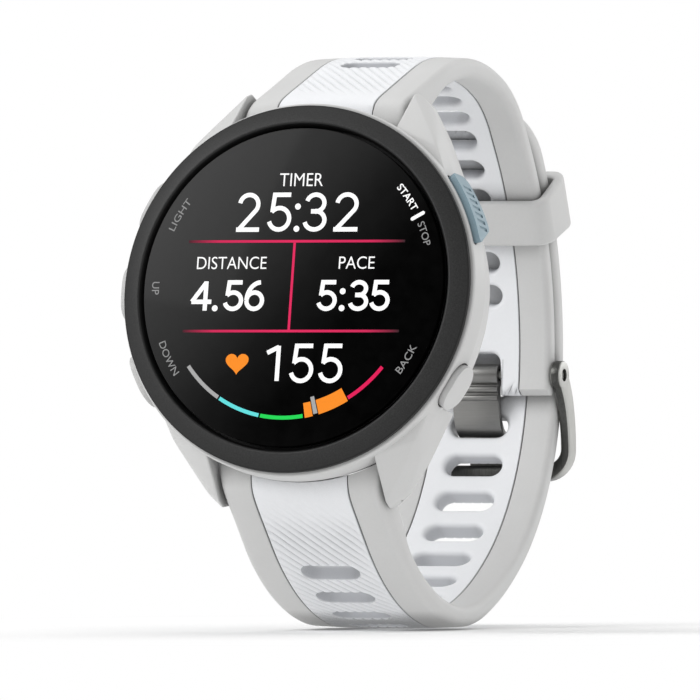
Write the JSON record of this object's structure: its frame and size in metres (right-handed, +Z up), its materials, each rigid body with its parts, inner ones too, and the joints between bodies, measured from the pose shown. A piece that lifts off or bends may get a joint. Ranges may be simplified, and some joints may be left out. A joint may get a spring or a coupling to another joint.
{
  "type": "gps running watch",
  "caption": "Round sports watch with a dark display under a black bezel, side buttons, and a two-tone slotted strap closed by a keeper and a steel pin buckle.",
  "frame": {"origin": "middle of the sensor window's flat back, where the watch rests on the wrist", "axes": "+X towards 3 o'clock, -Y the way the face looks, leaning 10.2 degrees up, +Z up through 12 o'clock with the watch standing on its strap"},
  "size_m": [0.0448, 0.066, 0.0669],
  "materials": {
    "glass": "polished dark cover glass",
    "panel": "black display",
    "bezel_black": "fine matte black",
    "case_grey": "satin moulded polymer",
    "button_blue": "satin blue-grey",
    "strap_grey": "matte silicone",
    "strap_white": "matte silicone",
    "seal": "matte",
    "steel": "brushed",
    "gold": "plated",
    "board": "solder mask",
    "cell": "foil pouch",
    "copper": "satin copper"
  },
  "bodies": {
    "watch": {"bezel_ring": "bezel_black", "display_glass": "glass", "display_panel": "panel", "display_gasket": "seal", "case_body": "case_grey", "back_cover": "case_grey", "back_gasket": "seal", "sensor_window": "glass", "sensor_board": "board", "back_screw_1": "steel", "back_screw_2": "steel", "back_screw_3": "steel", "back_screw_4": "steel", "charge_contact_1": "gold", "charge_contact_2": "gold", "charge_contact_3": "gold", "charge_contact_4": "gold", "main_board": "board", "battery": "cell", "vibration_motor": "steel", "beeper": "copper", "gps_antenna": "copper", "start_stop_button_seal": "seal", "start_stop_button_switch": "steel", "back_button_seal": "seal", "back_button_switch": "steel", "light_button_seal": "seal", "light_button_switch": "steel", "up_button_seal": "seal", "up_button_switch": "steel", "down_button_seal": "seal", "down_button_switch": "steel", "upper_spring_bar": "steel", "lower_spring_bar": "steel", "upper_strap_core": "strap_white", "upper_strap_rail_left": "strap_grey", "upper_strap_rail_right": "strap_grey", "lower_strap_core": "strap_white", "lower_strap_rail_left": "strap_grey", "lower_strap_rail_right": "strap_grey", "buckle_pin": "steel"},
    "start_stop_button": {"start_stop_button": "button_blue"},
    "back_button": {"back_button": "case_grey"},
    "light_button": {"light_button": "case_grey"},
    "up_button": {"up_button": "case_grey"},
    "down_button": {"down_button": "case_grey"},
    "upper_release_pin": {"upper_release_pin": "steel"},
    "lower_release_pin": {"lower_release_pin": "steel"},
    "keeper": {"keeper": "strap_grey"},
    "buckle_frame": {"buckle_frame": "steel"},
    "buckle_tongue": {"buckle_tongue": "steel"}
  },
  "joints": [
    {"name": "start_stop_button_press", "type": "slide", "parent": "watch", "child": "start_stop_button", "axis": [-0.8965, -0.0785, -0.4361], "range_m": [0, 0.0005], "stiffness_N_per_m": 15},
    {"name": "back_button_press", "type": "slide", "parent": "watch", "child": "back_button", "axis": [-0.8704, 0.0872, 0.4846], "range_m": [0, 0.0005], "stiffness_N_per_m": 15},
    {"name": "light_button_press", "type": "slide", "parent": "watch", "child": "light_button", "axis": [0.887, -0.0818, -0.4545], "range_m": [0, 0.0005], "stiffness_N_per_m": 15},
    {"name": "up_button_press", "type": "slide", "parent": "watch", "child": "up_button", "axis": [1, 0, 0], "range_m": [0, 0.0005], "stiffness_N_per_m": 15},
    {"name": "down_button_press", "type": "slide", "parent": "watch", "child": "down_button", "axis": [0.887, 0.0818, 0.4545], "range_m": [0, 0.0005], "stiffness_N_per_m": 15},
    {"name": "upper_bar_release", "type": "slide", "parent": "watch", "child": "upper_release_pin", "axis": [-1, 0, 0], "range_m": [0, 0.0012], "stiffness_N_per_m": 15},
    {"name": "lower_bar_release", "type": "slide", "parent": "watch", "child": "lower_release_pin", "axis": [-1, 0, 0], "range_m": [0, 0.0012], "stiffness_N_per_m": 15},
    {"name": "keeper_slide", "type": "hinge", "parent": "watch", "child": "keeper", "pos_m": [0, 0.00607, -0.00495], "axis": [1, 0, 0], "range_deg": [-8, 8]},
    {"name": "buckle_frame_hinge", "type": "hinge", "parent": "watch", "child": "buckle_frame", "pos_m": [0, 0.04543, -0.0082], "axis": [1, 0, 0], "range_deg": [-2, 2]},
    {"name": "buckle_tongue_hinge", "type": "hinge", "parent": "watch", "child": "buckle_tongue", "pos_m": [0, 0.04543, -0.0082], "axis": [1, 0, 0], "range_deg": [-1, 1]}
  ]
}
